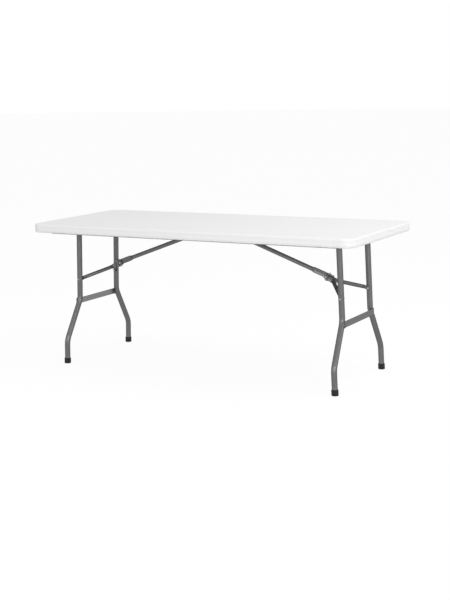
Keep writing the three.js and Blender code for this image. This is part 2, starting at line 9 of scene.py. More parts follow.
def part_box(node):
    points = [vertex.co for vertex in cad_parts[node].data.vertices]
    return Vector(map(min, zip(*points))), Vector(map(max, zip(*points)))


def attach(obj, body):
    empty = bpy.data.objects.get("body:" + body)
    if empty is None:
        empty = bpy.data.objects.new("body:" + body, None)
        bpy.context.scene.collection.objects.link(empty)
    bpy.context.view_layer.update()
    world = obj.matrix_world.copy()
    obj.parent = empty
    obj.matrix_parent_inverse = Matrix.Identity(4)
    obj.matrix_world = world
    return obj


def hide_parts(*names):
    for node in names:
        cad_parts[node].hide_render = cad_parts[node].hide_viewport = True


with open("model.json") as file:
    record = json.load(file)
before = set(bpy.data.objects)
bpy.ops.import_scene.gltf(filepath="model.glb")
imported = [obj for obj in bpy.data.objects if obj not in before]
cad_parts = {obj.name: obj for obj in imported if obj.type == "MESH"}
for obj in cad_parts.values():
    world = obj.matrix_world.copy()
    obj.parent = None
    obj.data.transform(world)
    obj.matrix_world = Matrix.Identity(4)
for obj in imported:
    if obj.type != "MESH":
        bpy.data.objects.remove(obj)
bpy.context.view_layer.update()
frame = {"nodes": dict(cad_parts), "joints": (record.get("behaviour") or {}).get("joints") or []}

# ---- The view ----
# The table stands open and is seen from its front right, a little above the top, through a long
# lens. Most of its height is legs, so the lens looks at a point below the middle.

VIEW_TARGET = Vector((0.03403, 0.0, 0.3463))
VIEW_AZIMUTH = 0.5279
VIEW_ELEVATION = 0.1834
VIEW_ROLL = -0.02424
VIEW_DISTANCE = 5.785
VIEW_LENS = 68.4
VIEW_SENSOR = 36
up = Vector((0, 0, 1))


def in_scene(name, data):
    piece = bpy.data.objects.new(name, data)
    bpy.context.scene.collection.objects.link(piece)
    return piece


camera = in_scene("camera", bpy.data.cameras.new("camera"))
camera.data.lens = VIEW_LENS
camera.data.sensor_width = VIEW_SENSOR
back = Vector((sin(VIEW_AZIMUTH) * cos(VIEW_ELEVATION),
               -cos(VIEW_AZIMUTH) * cos(VIEW_ELEVATION), sin(VIEW_ELEVATION)))
level = up.cross(back).normalized()
rolled = Matrix.Rotation(VIEW_ROLL, 3, back)
camera.matrix_world = Matrix.LocRotScale(
    VIEW_TARGET + back * VIEW_DISTANCE,
    rolled @ Matrix((level, back.cross(level), back)).transposed(), None)
bpy.context.scene.camera = camera

# ---- Tabletop ----
# One hollow blow-moulded shell of white polyethylene. Its face is flat and faintly pebbled, its
# rim is deep and softly rounded with the mould's parting line near the foot, and below it has
# stiffening grooves and the round tack-offs where its two walls are pressed together.

top_low, top_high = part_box("tabletop")
PANEL_THICKNESS = 0.017
TOP_CORNER = 0.062
CORNER_STEPS = 22
TOP_EDGE = 0.009
RIM_WIDTH = 0.026
RIM_FOOT = 0.005
RIM_INNER = 0.003
RIM_ROOT = 0.006
FLASH_HEIGHT = 0.0115
FLASH_OUT = 0.0004
GROOVE_FIRST = 0.159
GROOVE_PITCH = 0.104
GROOVE_HALF_WIDTH = 0.008
GROOVE_HALF_LENGTH = 0.266
GROOVE_DEPTH = 0.004
GROOVE_LIP = 0.0018
GROOVE_FLOOR = 0.0012
DIMPLE_RADIUS = 0.009
DIMPLE_DEPTH = 0.003
DIMPLE_PITCH = 0.088
DIMPLE_SIDES = 16
underside = top_high.z - PANEL_THICKNESS


def rounded_outline(half_length, half_width, radius, steps=CORNER_STEPS):
    """Points anticlockwise round a rectangle with round corners."""
    points = []
    for corner, (side_x, side_y) in enumerate(((1, 1), (-1, 1), (-1, -1), (1, -1))):
        for step in range(steps + 1):
            turn = pi / 2 * (corner + step / steps)
            points.append((side_x * (half_length - radius) + radius * cos(turn),
                           side_y * (half_width - radius) + radius * sin(turn)))
    return points


def arc(centre_inset, centre_z, radius, start, end, steps):
    """Rows of a rounded edge from angle to angle: how far in and how high."""
    turns = [radians(start + (end - start) * i / steps) for i in range(steps + 1)]
    return [(centre_inset - radius * cos(t), centre_z + radius * sin(t)) for t in turns]


def skin(mesh, rings, way=1):
    """Faces from each ring to the next. A ring may be one point, and way -1 turns the faces over."""
    for pair in zip(rings, rings[1:]):
        lower, upper = pair[::way]
        for i in range(max(len(lower), len(upper))):
            corners = [lower[i % len(lower)], lower[(i + 1) % len(lower)],
                       upper[(i + 1) % len(upper)], upper[i % len(upper)]]
            mesh.faces.new(dict.fromkeys(corners))


def sunk_shape(mesh, outline_at, rows):
    """A hollow pressed up into the underside. Returns the ring round its mouth."""
    rings = [[mesh.verts.new((x, y, z)) for x, y in outline_at(inset)] for inset, z in rows]
    skin(mesh, rings, -1)
    mesh.faces.new(reversed(rings[-1]))
    return rings[0]


def smoothed(made, below):
    """A mesh that is smooth apart from its corners."""
    made.shade_smooth()
    made.set_sharp_from_angle(angle=radians(below))
    return made


def finished(name, mesh, material, smooth_below=35):
    """Turns a bmesh into an object."""
    made = bpy.data.meshes.new(name)
    mesh.to_mesh(made)
    mesh.free()
    made.materials.append(material)
    return in_scene(name, smoothed(made, smooth_below))


def fit(piece, body, slot, *nodes, turn=1):
    """Puts a finished piece on its body, in place of the plain solids that it stands for. Pieces are
    made at the right end. The left end has the same ones, half a turn round."""
    if turn < 0:
        piece.data.transform(Matrix.Rotation(pi, 4, "Z"))
    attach(piece, body)
    if nodes:
        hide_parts(*nodes)


def feed(tree, node, inputs):
    """Sets or wires a node's inputs, by name or number."""
    for name, value in dict(inputs).items():
        if isinstance(value, bpy.types.NodeSocket):
            tree.links.new(value, node.inputs[name])
        else:
            node.inputs[name].default_value = value


def place(tree, kind, inputs=(), **settings):
    """Adds a node with its settings, and gives its outputs."""
    node = tree.nodes.new(kind)
    for name, value in settings.items():
        setattr(node, name, value)
    feed(tree, node, inputs)
    return node.outputs


def maths(tree, operation, *values, **settings):
    return place(tree, "ShaderNodeMath", dict(enumerate(values)), operation=operation, **settings)[0]


def noise(tree, where, scale, detail, roughness=0.5):
    return place(tree, "ShaderNodeTexNoise", {"Vector": where, "Scale": scale, "Detail": detail,
                                              "Roughness": roughness})[0]


def mixed(tree, share, first, second):
    """A value between two others, by a mask."""
    return place(tree, "ShaderNodeMix", {0: share, 2: first, 3: second}, data_type="FLOAT")[0]


def blended(tree, share, first, second):
    """A colour between two, by a mask."""
    return place(tree, "ShaderNodeMix", {0: share, 6: first, 7: second}, data_type="RGBA")[2]


def between(tree, share, low, high):
    """A value between two numbers, by a mask."""
    return place(tree, "ShaderNodeMapRange", {"Value": share, "To Min": low, "To Max": high})[0]


def group(family, name, inputs, **outputs):
    """An empty node group, its inputs and its end. An input is given by its kind or its usual value."""
    tree = bpy.data.node_groups.new(name, f"{family}NodeTree")
    for label, value in inputs.items():
        kind = value if isinstance(value, str) else "Float"
        socket = tree.interface.new_socket(label, in_out="INPUT", socket_type=f"NodeSocket{kind}")
        if kind != value:
            socket.default_value = value
    for label, kind in outputs.items():
        tree.interface.new_socket(label, in_out="OUTPUT", socket_type=f"NodeSocket{kind}")
    return tree, tree.nodes.new("NodeGroupInput").outputs, tree.nodes.new("NodeGroupOutput")


def moulded_grain():
    """Fine pebbling with a slower unevenness under it, as cast by a textured mould."""
    tree, given, made = group("Shader", "moulded_grain", {
        "Vector": "Vector", "Pebble size": 0.001, "Unevenness": 0.3}, Height="Float", Mask="Float")
    fineness = maths(tree, "DIVIDE", 1.0, given["Pebble size"])
    pebbles = place(tree, "ShaderNodeTexVoronoi", {
        "Vector": given["Vector"], "Scale": fineness, "Smoothness": 0.8}, feature="SMOOTH_F1")
    drift = noise(tree, given["Vector"], maths(tree, "MULTIPLY", fineness, 0.045), 3.0, 0.55)
    height = mixed(tree, given["Unevenness"], pebbles["Distance"], drift)
    feed(tree, made, {"Height": height, "Mask": drift})
    return tree


def rubbed_edges():
    """Where hands and floors have rubbed: broken patches, mostly where the edge attribute is high."""
    tree, given, made = group("Shader", "rubbed_edges", {
        "Vector": "Vector", "Patch size": 0.01, "Amount": 0.4, "Everywhere": 0.1}, Mask="Float")
    edge = place(tree, "ShaderNodeAttribute", attribute_name="edge")["Fac"]
    patches = noise(tree, given["Vector"], maths(tree, "DIVIDE", 1.0, given["Patch size"]), 6.0, 0.7)
    reach = maths(tree, "ADD", edge, given["Everywhere"], use_clamp=True)
    start = maths(tree, "SUBTRACT", 0.78, maths(tree, "MULTIPLY", reach, given["Amount"]))
    mask = place(tree, "ShaderNodeMapRange", {
        "Value": patches, "From Min": start, "From Max": maths(tree, "ADD", start, 0.12)},
        interpolation_type="SMOOTHSTEP")
    feed(tree, made, {"Mask": mask[0]})
    return tree


def fine_scratches():
    """Short hairlines in two directions, such as a used surface picks up."""
    tree, given, made = group("Shader", "fine_scratches", {"Vector": "Vector", "Spacing": 0.02}, Mask="Float")
    fineness = maths(tree, "DIVIDE", 1.0, given["Spacing"])
    strokes = []
    for turn, stretch in ((0.5, 34.0), (-0.95, 26.0)):
        laid = place(tree, "ShaderNodeMapping", {
            "Vector": given["Vector"], "Rotation": (0, 0, turn), "Scale": (1.0, stretch, 1.0)})
        strokes.append(place(tree, "ShaderNodeMapRange", {
            "Value": noise(tree, laid[0], fineness, 1.0), "From Min": 0.70, "From Max": 0.76})[0])
    feed(tree, made, {"Mask": maths(tree, "MAXIMUM", *strokes)})
    return tree


grain_effect, rub_effect, scratch_effect = moulded_grain(), rubbed_edges(), fine_scratches()


def new_material(name):
    material = bpy.data.materials.new(name)
    material.use_nodes = True
    return material, material.node_tree


def use(tree, effect, where, sizes):
    """Places one of the groups in a material."""
    return place(tree, "ShaderNodeGroup", {"Vector": where, **sizes}, node_tree=effect)


def coated(name, effect, sizes, patch, amount, everywhere, tones, worn, bump, along_tube=False):
    """A material with a moulded or painted skin, two tones that drift into each other, and rubbed
    patches. Gives its two masks too, for the rest of its finish."""
    material, tree = new_material(name)
    where = (place(tree, "ShaderNodeAttribute", attribute_name="grain")["Vector"] if along_tube else
             place(tree, "ShaderNodeTexCoord")["Object"])
    cover = use(tree, effect, where, sizes)
    rubbed = use(tree, rub_effect, where, {"Patch size": patch, "Amount": amount, "Everywhere": everywhere})
    shader = tree.nodes["Principled BSDF"]
    strength, depth = bump
    feed(tree, shader, {
        "Base Color": blended(tree, rubbed["Mask"], blended(tree, cover["Mask"], *tones), worn),
        "Normal": place(tree, "ShaderNodeBump", {
            "Height": cover["Height"], "Strength": strength, "Distance": depth})[0]})
    return material, tree, shader, cover["Mask"], rubbed["Mask"]


def white_plastic():
    material, tree, shader, grain, _ = coated(
        "white_plastic", grain_effect, {"Pebble size": 0.0014, "Unevenness": 0.35}, 0.012, 0.30, 0.12,
        ((0.825, 0.826, 0.822, 1), (0.865, 0.866, 0.865, 1)), (0.70, 0.70, 0.695, 1), (0.30, 0.00022))
    lines = use(tree, scratch_effect, place(tree, "ShaderNodeTexCoord")["Object"], {"Spacing": 0.045})
    feed(tree, shader, {
        "Roughness": maths(tree, "MULTIPLY_ADD", lines["Mask"], -0.10, between(tree, grain, 0.40, 0.56)),
        "IOR": 1.5, "Specular IOR Level": 0.45})
    return material


def moulded_top(material):
    low, high = top_low.z, top_high.z
    flash = low + FLASH_HEIGHT
    rows = [(TOP_EDGE + 0.012, high), (TOP_EDGE + 0.002, high)]
    rows += arc(FLASH_OUT + TOP_EDGE, high - TOP_EDGE, TOP_EDGE, 90, 0, 8)
    rows += [(FLASH_OUT, high - TOP_EDGE - 0.002), (FLASH_OUT, flash + 0.0012), (0.0, flash + 0.0004),
             (0.0, flash - 0.0004), (FLASH_OUT, flash - 0.0012), (FLASH_OUT, low + RIM_FOOT + 0.001)]
    rim_foot = arc(FLASH_OUT + RIM_FOOT, low + RIM_FOOT, RIM_FOOT, 0, -90, 6)
    rubbed = range(len(rows), len(rows + rim_foot))
    rows += rim_foot + [(RIM_FOOT + 0.0015, low), (RIM_WIDTH - RIM_INNER - 0.0015, low)]
    rows += arc(RIM_WIDTH - RIM_INNER, low + RIM_INNER, RIM_INNER, -90, -180, 4)
    rows += [(RIM_WIDTH, low + RIM_INNER + 0.001), (RIM_WIDTH, underside - RIM_ROOT - 0.001)]
    rows += arc(RIM_WIDTH + RIM_ROOT, underside - RIM_ROOT, RIM_ROOT, 0, 90, 5)
    rows += [(RIM_WIDTH + RIM_ROOT + 0.002, underside)]

    mesh = bmesh.new()
    edge_layer = mesh.verts.layers.float.new("edge")
    rings = []
    for number, (inset, z) in enumerate(rows):
        outline = rounded_outline(top_high.x - inset, top_high.y - inset, TOP_CORNER - inset)
        rings.append([mesh.verts.new((x, y, z)) for x, y in outline])
        for corner in rings[-1]:
            corner[edge_layer] = float(number in rubbed)
    skin(mesh, rings, -1)
    mesh.faces.new(rings[0])

    # The grooves run across between the rails, and the tack-offs stand between the grooves.
    mouths = [rings[-1]]
    groove = [(-GROOVE_LIP - 0.0008, underside)]
    groove += arc(-GROOVE_LIP, underside + GROOVE_LIP, GROOVE_LIP, 270, 180, 3)
    groove += arc(GROOVE_FLOOR, underside + GROOVE_DEPTH - GROOVE_FLOOR, GROOVE_FLOOR, 0, 90, 3)
    for x_groove in [s * (GROOVE_FIRST + GROOVE_PITCH * i) for s in (-1, 1) for i in range(6)]:
        mouths.append(sunk_shape(mesh, lambda inset: [(x_groove + x, y) for x, y in rounded_outline(
            GROOVE_HALF_WIDTH - inset, GROOVE_HALF_LENGTH - inset,
            GROOVE_HALF_WIDTH - inset - 1e-5, 7)], groove))
    columns = [s * (GROOVE_FIRST + GROOVE_PITCH * (i + 0.5)) for s in (-1, 1) for i in range(5)]
    spots = [(x, y * DIMPLE_PITCH) for x in columns for y in range(-3, 4)]
    spots += [(x * GROOVE_PITCH, y * DIMPLE_PITCH) for x in (-1, 0, 1) for y in (-3, -2, -1, 1, 2, 3)]
    bowl = [(-0.0012, 0.0), (0.0, 0.0002), (DIMPLE_RADIUS * 0.2, DIMPLE_DEPTH * 0.42),
            (DIMPLE_RADIUS * 0.45, DIMPLE_DEPTH * 0.80), (DIMPLE_RADIUS * 0.75, DIMPLE_DEPTH)]
    round_about = [tau * k / DIMPLE_SIDES for k in range(DIMPLE_SIDES)]
    for x_spot, y_spot in spots:
        mouths.append(sunk_shape(mesh, lambda inset: [
            (x_spot + (DIMPLE_RADIUS - inset) * cos(t), y_spot + (DIMPLE_RADIUS - inset) * sin(t))
            for t in round_about], [(inset, underside + rise) for inset, rise in bowl]))
    borders = [mesh.edges.get((ring[i - 1], ring[i])) for ring in mouths for i in range(len(ring))]
    bmesh.ops.triangle_fill(mesh, use_beauty=True, edges=borders, normal=(0, 0, -1))
    return finished("moulded_top", mesh, material)


fit(moulded_top(white_plastic()), "top", "white_plastic", "tabletop")

# ---- Side rails ----
# Two roll-formed steel channels under the long edges of the panel. Each opens outwards, with a
# wide flange screwed up against the plastic and a web that carries the pivots of the leg frames.

RAIL_SHEET = 0.002
RAIL_BEND = 0.003
RAIL_LIP = 0.011
EASED = 0.0003
ROWS = (("front", -1), ("rear", 1))


def powder_coat():
    """Orange-peel skin of a baked powder coat, with the tube's own drawing lines faintly under it."""
    tree, given, made = group("Shader", "powder_coat", {
        "Vector": "Vector", "Peel size": 0.002, "Lines": 0.2}, Height="Float", Mask="Float")
    fineness = maths(tree, "DIVIDE", 1.0, given["Peel size"])
    peel = noise(tree, given["Vector"], fineness, 2.0, 0.45)
    drawn = place(tree, "ShaderNodeMapping", {"Vector": given["Vector"], "Scale": (1.0, 1.0, 0.03)})
    height = mixed(tree, given["Lines"], peel, noise(tree, drawn[0], 700.0, 2.0))
    cloud = noise(tree, given["Vector"], maths(tree, "MULTIPLY", fineness, 0.05), 4.0, 0.6)
    feed(tree, made, {"Height": height, "Mask": cloud})
    return tree


coat_effect = powder_coat()


def grey_paint(name, along_tube, tone_low=0.141, tone_high=0.171):
    """Charcoal powder coat with a metal flake in it. Its pattern follows a tube's own length. Other tones
    give lit or shaded copies of it, which paint light or shade onto a part.
    """
    material, tree, shader, coat, rubbed = coated(
        name, coat_effect, {"Peel size": 0.0019, "Lines": 0.3 if along_tube else 0.0}, 0.006, 0.42, 0.10,
        [(t, t, t + 0.003, 1) for t in (tone_low, tone_high)], (0.24, 0.243, 0.247, 1), (0.22, 0.00018),
        along_tube)
    feed(tree, shader, {
        "Roughness": between(tree, coat, 0.30, 0.36), "Metallic": between(tree, rubbed, 0.72, 0.9),
        "Specular IOR Level": 0.25, "Specular Tint": (0.05, 0.05, 0.05, 1)})
    return material


sheet_paint = grey_paint("grey_paint_sheet", False)


def bent_strip(centreline, sheet, bend):
    """The closed outline of a sheet folded along a line of square corners, in its own plane."""
    runs = [(b - a).normalized() for a, b in zip(centreline, centreline[1:])]
    left, right = [], []
    for number, corner in enumerate(centreline):
        before, after = runs[max(number - 1, 0)], runs[min(number, len(runs) - 1)]
        leftward = Vector((-before.y, before.x))
        if before == after:
            left.append(corner + leftward * sheet / 2)
            right.append(corner - leftward * sheet / 2)
            continue
        side = 1 if before.x * after.y - before.y * after.x > 0 else -1
        hub = corner - before * bend + side * leftward * bend
        for step in range(7):
            out = Matrix.Rotation(side * pi / 12 * step, 2) @ (-side * leftward)
            left.append(hub + out * (bend - side * sheet / 2))
            right.append(hub + out * (bend + side * sheet / 2))
    return left + right[::-1]


def bar(mesh, rings):
    """The skin of some rings, with a face over each end."""
    skin(mesh, rings)
    mesh.faces.new(rings[0])
    mesh.faces.new(reversed(rings[-1]))


def prism(name, outline, start, end, bevel, at, material, smooth_below):
    """A bar of one outline with its end corners taken off. At says where a point of it lies."""
    middle = sum(outline, Vector((0, 0))) / len(outline)
    mesh = bmesh.new()
    bar(mesh, [[mesh.verts.new(at(run, point - (point - middle).normalized() * shrink)) for point in outline]
               for run, shrink in ((start, bevel), (start + bevel, 0), (end - bevel, 0), (end, bevel))])
    bmesh.ops.recalc_face_normals(mesh, faces=mesh.faces)
    return finished(name, mesh, material, smooth_below)


def side_rail(row, side):
    low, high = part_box(f"side_rail_{row}")
    inner, upper = (low.y, high.y) if side > 0 else (high.y, low.y)
    half = RAIL_SHEET / 2
    corners = [Vector((inner + side * RAIL_LIP, low.z + half)), Vector((inner + side * half, low.z + half)),
               Vector((inner + side * half, high.z - half)), Vector((upper, high.z - half))]
    return prism(f"rail_{row}", bent_strip(corners, RAIL_SHEET, RAIL_BEND), low.x, high.x, EASED,
                 lambda x, point: (x, *point), sheet_paint, 25)


for row, side in ROWS:
    fit(side_rail(row, side), "top", "grey_paint", f"side_rail_{row}")

# ---- Middle bracket ----
# A pressed steel plate under the middle of the panel. Two pairs of round-nosed ears are folded
# down from it, and each pair holds the upper end of one strut on a pin.

joint_at = {joint["name"]: Vector(joint.get("pos_m") or (0, 0, 0)) for joint in frame["joints"]}
anchor = joint_at["strut_swing_right"]
PLATE_CORNER = 0.010
PLATE_EASED = 0.0004
EAR_SHEET = 0.0025
EAR_INNER = 0.0048
EAR_NOSE = 0.014
EAR_ROOT = 0.017
EAR_FOLD = 0.004


def bracket_ear(mesh, x_pin, side, plate_low):
    """One ear: its nose is round about the pin, and its root curves into the plate."""
    rise = plate_low - anchor.z
    outline = [(-EAR_ROOT, rise + 0.001), (-EAR_ROOT, rise - EAR_FOLD)]
    outline += arc(0, 0, EAR_NOSE, 0, -180, 14) + [(EAR_ROOT, rise - EAR_FOLD), (EAR_ROOT, rise + 0.001)]
    rings = []
    for depth, shrink in ((0, EASED), (EASED, 0), (EAR_SHEET - EASED, 0), (EAR_SHEET, EASED)):
        size = 1 - shrink / EAR_NOSE
        rings.append([mesh.verts.new((x_pin + x * size, side * (EAR_INNER + depth), anchor.z + z * size))
                      for x, z in outline])
    bar(mesh, rings)
    back_y, outer_y = side * (EAR_INNER + EAR_SHEET - 0.0005), EAR_INNER + EAR_SHEET - 0.0002
    curve = arc(outer_y + EAR_FOLD, plate_low - EAR_FOLD, EAR_FOLD, 90, 0, 6)
    root = [(back_y, plate_low), *((side * y, z) for y, z in curve), (back_y, plate_low - EAR_FOLD)]
    bar(mesh, [[mesh.verts.new((x_pin + x, y, z)) for y, z in root] for x in (-EAR_ROOT, EAR_ROOT)])


def middle_bracket():
    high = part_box("middle_bracket")[1]
    plate_low = high.z - EAR_SHEET
    mesh = bmesh.new()
    rings = []
    for inset, z in ((PLATE_EASED, plate_low), (0, plate_low + PLATE_EASED),
                     (0, high.z - PLATE_EASED), (PLATE_EASED, high.z)):
        outline = rounded_outline(high.x - inset, high.y - inset, PLATE_CORNER - inset, 8)
        rings.append([mesh.verts.new((x, y, z)) for x, y in outline])
    skin(mesh, rings)
    mesh.faces.new(reversed(rings[0]))
    mesh.faces.new(rings[-1])
    for x_pin in (-anchor.x, anchor.x):
        for side in (-1, 1):
            bracket_ear(mesh, x_pin, side, plate_low)
    bmesh.ops.recalc_face_normals(mesh, faces=mesh.faces)
    return finished("bracket", mesh, sheet_paint, 30)


fit(middle_bracket(), "top", "grey_paint", "middle_bracket")

# ---- Leg frames ----
# Two frames of 28 mm steel tube. At the top a hinge tube turns on pivots in the rails, the legs
# are saddled and welded to it, and each leg is bent twice so that the feet stand wider apart.

hinge = joint_at["leg_fold_right"]
SPLAY = radians(2.35)
LEG_TUBE = 0.028
LEG_WALL = 0.0015
LEG_BEND = 0.090
BEND_HIGH = 0.322
BEND_LOW = 0.123
LEG_SPREAD_TOP = 0.165
LEG_SPREAD_FOOT = 0.2795
CAP_SOLE = 0.005
HINGE_TUBE_HALF = 0.2974
CLEARANCE = 0.0003
RUBBED_END = 0.012
RUBBED_FOOT = 0.09
FOOT_WEAR = 0.8
leg_down = Vector((sin(SPLAY), 0, -cos(SPLAY)))
leg_out = Vector((cos(SPLAY), 0, sin(SPLAY)))
across = Vector((0, 1, 0))
ENDS = (("right", 1), ("left", -1))
# Each leg's end and row, how its end is turned, and its side before that turn.
LEGS = [(end, "front" if side * turn < 0 else "rear", turn, side) for end, turn in ENDS for side in (-1, 1)]
tube_paint = grey_paint("grey_paint_tube", True)


def on_frame(height, y):
    """A point in a leg frame's plane, from its height and its place across the table."""
    return hinge + across * y + leg_down * ((hinge.z - height) / cos(SPLAY))


def bent_path(corners, bend, steps=16):
    """Points and directions along straight runs that round bends join."""
    path = [(corners[0], (corners[1] - corners[0]).normalized())]
    for last, at, following in zip(corners, corners[1:], corners[2:]):
        before, after = (at - last).normalized(), (following - at).normalized()
        angle = before.angle(after)
        inward = (after - before * after.dot(before)).normalized()
        hub = at - before * bend * tan(angle / 2) + inward * bend
        for step in range(steps + 1):
            turn = angle * step / steps
            path.append((hub + (before * sin(turn) - inward * cos(turn)) * bend,
                         before * cos(turn) + inward * sin(turn)))
    return path + [(corners[-1], (corners[-1] - corners[-2]).normalized())]


def stored(tree, geometry, name, value, **settings):
    """Marks every point of a shape with a value."""
    return place(tree, "GeometryNodeStoreNamedAttribute", {
        "Geometry": geometry, "Name": name, "Value": value}, **settings)[0]


def marked(tree, name, kind="FLOAT"):
    """Reads a mark back."""
    return place(tree, "GeometryNodeInputNamedAttribute", {"Name": name}, data_type=kind)[0]


def end_tree(tree, given, made, geometry):
    """Every tree ends in a plain mesh with its finish on."""
    real = place(tree, "GeometryNodeRealizeInstances", {"Geometry": geometry})
    feed(tree, made, {0: place(tree, "GeometryNodeSetMaterial", {
        "Geometry": real[0], "Material": given["Finish"]})[0]})
    return tree


def round_tube_tree():
    """A tree that sweeps a round section along a wire, and marks each point's place on the tube."""
    tree, given, made = group("Geometry", "round_tube", {
        "Path": "Geometry", "Diameter": "Float", "Sides": "Int", "Ripple": "Float", "Ripple pitch": "Float",
        "Finish": "Material"}, Tube="Geometry")
    radius = maths(tree, "MULTIPLY", given["Diameter"], 0.5)
    along = place(tree, "GeometryNodeSplineParameter")
    wire = place(tree, "GeometryNodeMeshToCurve", {"Mesh": given["Path"]})
    wire = stored(tree, wire[0], "run", along["Length"])
    circle = place(tree, "GeometryNodeCurvePrimitiveCircle", {"Resolution": given["Sides"], "Radius": radius})
    circle = stored(tree, circle[0], "turn", along["Factor"])
    swept = place(tree, "GeometryNodeCurveToMesh", {"Curve": wire, "Profile Curve": circle})[0]
    run = marked(tree, "run")
    angle = maths(tree, "MULTIPLY", marked(tree, "turn"), tau)
    grain = {axis: maths(tree, "MULTIPLY", maths(tree, wave, angle), radius)
             for axis, wave in (("X", "COSINE"), ("Y", "SINE"))}
    tube = stored(tree, swept, "grain", place(tree, "ShaderNodeCombineXYZ", {**grain, "Z": run})[0],
                  data_type="FLOAT_VECTOR")
    # Only a weld bead has ripples: they stand out from its own section, one after another.
    phase = maths(tree, "MULTIPLY", maths(tree, "DIVIDE", run, given["Ripple pitch"]), tau)
    swell = maths(tree, "MULTIPLY", maths(tree, "SINE", phase), given["Ripple"])
    push = place(tree, "ShaderNodeVectorMath", {
        0: place(tree, "GeometryNodeInputNormal")[0], "Scale": swell}, operation="SCALE")
    rippled = place(tree, "GeometryNodeSetPosition", {"Geometry": tube, "Offset": push[0]})
    smooth = place(tree, "GeometryNodeSetShadeSmooth", {"Geometry": rippled[0]})
    return end_tree(tree, given, made, smooth[0])


tube_tree = round_tube_tree()


def changed(piece, kind, sizes=(), **settings):
    """Runs one modifier on a piece and keeps the plain result. A tree's sizes are set by its sockets."""
    modifier = piece.modifiers.new(kind.lower(), kind)
    for name, value in settings.items():
        setattr(modifier, name, value)
    for label, value in dict(sizes).items():
        modifier[modifier.node_group.interface.items_tree[label].identifier] = value
    made = bpy.data.meshes.new_from_object(piece.evaluated_get(bpy.context.evaluated_depsgraph_get()))
    piece.modifiers.clear()
    piece.data = made
    return piece


def wire_of(points, closed=False):
    """A wire through some points."""
    mesh = bpy.data.meshes.new("wire")
    edges = [(i, i + 1) for i in range(len(points) - 1)] + ([(len(points) - 1, 0)] if closed else [])
    mesh.from_pydata(points, edges, [])
    return mesh


def round_tube(name, points, diameter, material, sides=48, closed=False, ripple=0.0, ripple_pitch=1.0):
    return changed(in_scene(name, wire_of(points, closed)), "NODES", {
        "Diameter": diameter, "Sides": sides, "Ripple": ripple, "Ripple pitch": ripple_pitch,
        "Finish": material}, node_group=tube_tree)


def set_edge(piece, share):
    """Stores how much each point of a piece gets rubbed."""
    layer = piece.data.attributes.new("edge", "FLOAT", "POINT")
    layer.data.foreach_set("value", [share(vertex.co) for vertex in piece.data.vertices])


def walled(piece, wall):
    """Gives a swept skin its inner wall, and closes its ends."""
    smoothed(changed(piece, "SOLIDIFY", thickness=wall, offset=-1).data, 40)
    return piece


def leg_corners(side):
    return [on_frame(height, side * spread) for height, spread in (
        (hinge.z, LEG_SPREAD_TOP), (BEND_HIGH, LEG_SPREAD_TOP), (BEND_LOW, LEG_SPREAD_FOOT),
        (CAP_SOLE + CLEARANCE, LEG_SPREAD_FOOT))]


def leg(name, side):
    points = [at for at, _ in bent_path(leg_corners(side), LEG_BEND)]
    piece = round_tube(name, points, LEG_TUBE, tube_paint)
    for vertex in piece.data.vertices:
        run, aside = (vertex.co - hinge).dot(leg_down), (vertex.co - hinge).dot(leg_out)
        saddle = sqrt(max((LEG_TUBE / 2) ** 2 - aside ** 2, 0))
        if run < saddle:
            vertex.co += leg_down * (saddle - run)
    set_edge(piece, lambda co: max(0.0, 1 - co.z / RUBBED_FOOT) * FOOT_WEAR)
    return walled(piece, LEG_WALL)


def hinge_tube(name):
    inner = HINGE_TUBE_HALF - RUBBED_END
    stations = [hinge + across * y for y in (-HINGE_TUBE_HALF, -inner, 0, inner, HINGE_TUBE_HALF)]
    piece = round_tube(name, stations, LEG_TUBE, tube_paint)
    set_edge(piece, lambda co: max(0.0, (abs(co.y) - inner) / RUBBED_END))
    return walled(piece, LEG_WALL)


for end, row, turn, side in LEGS:
    body = f"leg_frame_{end}"
    if side < 0:
        fit(hinge_tube(f"hinge_tube_{end}_round"), body, "grey_paint", f"hinge_tube_{end}", turn=turn)
    fit(leg(f"leg_{row}_{end}_bent", side), body, "grey_paint", f"leg_{row}_{end}", turn=turn)

# ---- Crossbars ----
# A steel tube pressed nearly flat and laid over the outer faces of both legs, just above their
# upper bend. It is coped round the legs and welded there.

CROSSBAR_HEIGHT = 0.312
CROSSBAR_TUBE = 0.022
CROSSBAR_PRESSED = 0.007
CROSSBAR_VALLEY = 0.0006
CROSSBAR_HALF = LEG_SPREAD_TOP + 0.005
VALLEY_REACH = 0.34
PRESSED_SIDES = 56
TAPER_STEPS = 20
ROUNDING_STEPS = 8
SEARCH_STEPS = 1600
GRAIN_RADIUS = 0.01
TINY = 1e-9


def pressed_height(diameter, thick):
    """The height of a round tube after pressing, since its girth stays the same."""
    return thick + pi * (diameter - thick) / 2


crossbar_flat = pressed_height(CROSSBAR_TUBE, CROSSBAR_PRESSED)


def pressed_section(thick, tall, middle):
    """Points round a pressed tube, evenly spaced along its girth. A valley along its flats leaves it
    only as thick as its middle says."""
    radius, flat = thick / 2, (tall - thick) / 2
    arc_length = pi * radius
    girth = 2 * arc_length + 4 * flat
    half = []
    for s in (girth * (i + 0.5) / PRESSED_SIDES for i in range(PRESSED_SIDES // 2)):
        if s < flat:
            x, y = radius, s
        elif s < flat + arc_length:
            x, y = radius * cos((s - flat) / radius), flat + radius * sin((s - flat) / radius)
        else:
            x, y = -radius, 2 * flat + arc_length - s
        valley = max(0.0, 1 - (y / (VALLEY_REACH * tall)) ** 2) ** 1.5
        half.append((x - copysign((thick - middle) / 2 * valley, x), y))
    return half + [(-x, -y) for x, y in half]


